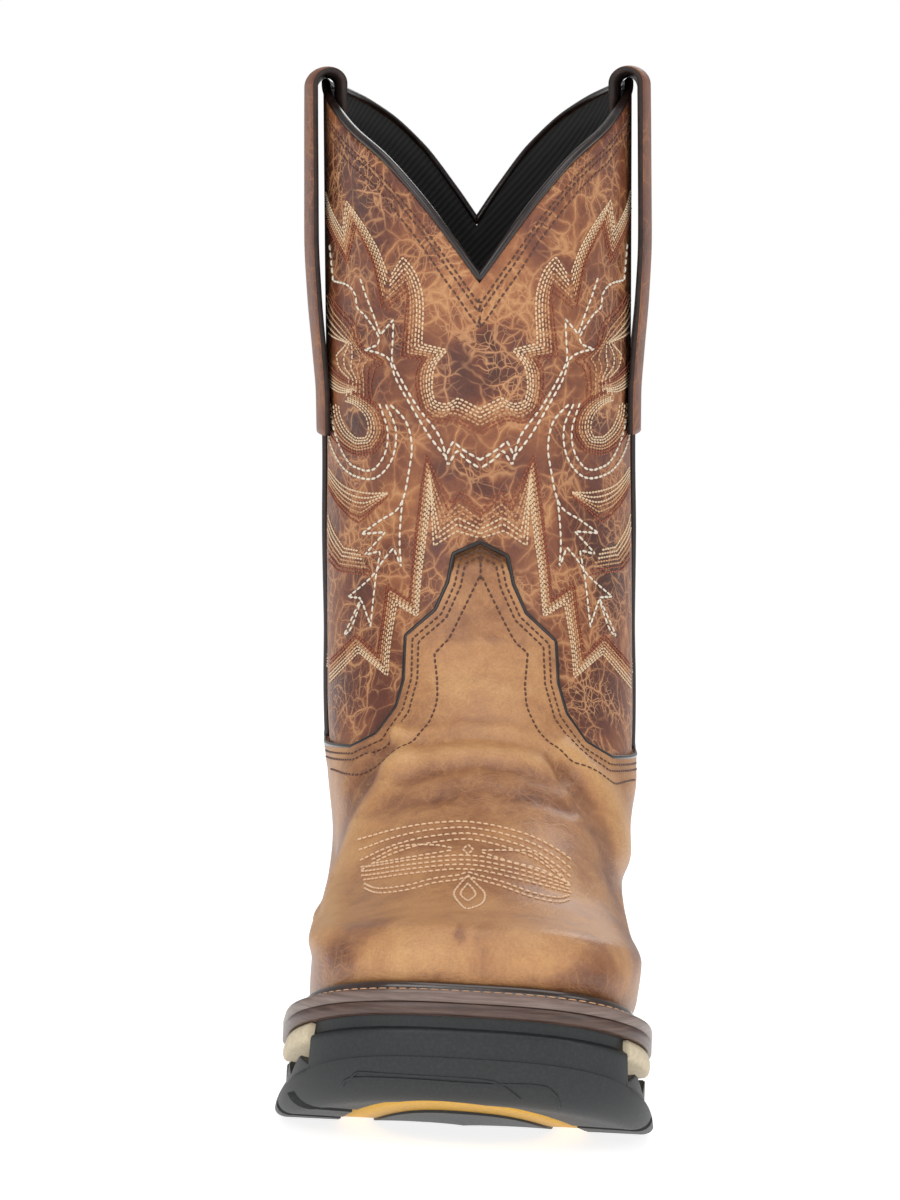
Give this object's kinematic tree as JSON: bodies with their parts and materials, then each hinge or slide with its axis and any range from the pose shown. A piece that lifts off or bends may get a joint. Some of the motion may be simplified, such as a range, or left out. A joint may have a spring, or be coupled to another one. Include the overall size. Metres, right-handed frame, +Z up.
{
  "type": "western work boot",
  "caption": "Right pull-on western work boot with a broad square toe, scalloped shaft, pull straps, stitched welt and lugged rubber sole.",
  "frame": {"origin": "on the ground, under the middle of the boot's bounding box", "axes": "+Z up along the shaft, -Y towards the toe, +X towards the inner (big-toe) side of a right boot"},
  "size_m": [0.1246, 0.3072, 0.3374],
  "materials": {
    "shaft_leather": "distressed brown, waxed",
    "vamp_leather": "tan pull-up, waxed",
    "piping": "dark brown, semi-gloss",
    "strap_leather": "distressed brown",
    "inner_leather": "matte",
    "welt_leather": "burnished dark brown",
    "cushion_foam": "matte beige",
    "black_rubber": "matte, moulded",
    "insert_rubber": "matte yellow"
  },
  "bodies": {
    "root": {"upper": "shaft_leather", "vamp": "vamp_leather", "heel_counter": "vamp_leather", "collar_binding": "piping", "side_seam_inner": "piping", "side_seam_outer": "piping", "pull_strap_inner": "strap_leather", "pull_strap_outer": "strap_leather", "insole": "inner_leather", "welt": "welt_leather", "midsole": "welt_leather", "cushion": "cushion_foam", "outsole": "black_rubber", "tread_insert": "insert_rubber"}
  },
  "joints": []
}
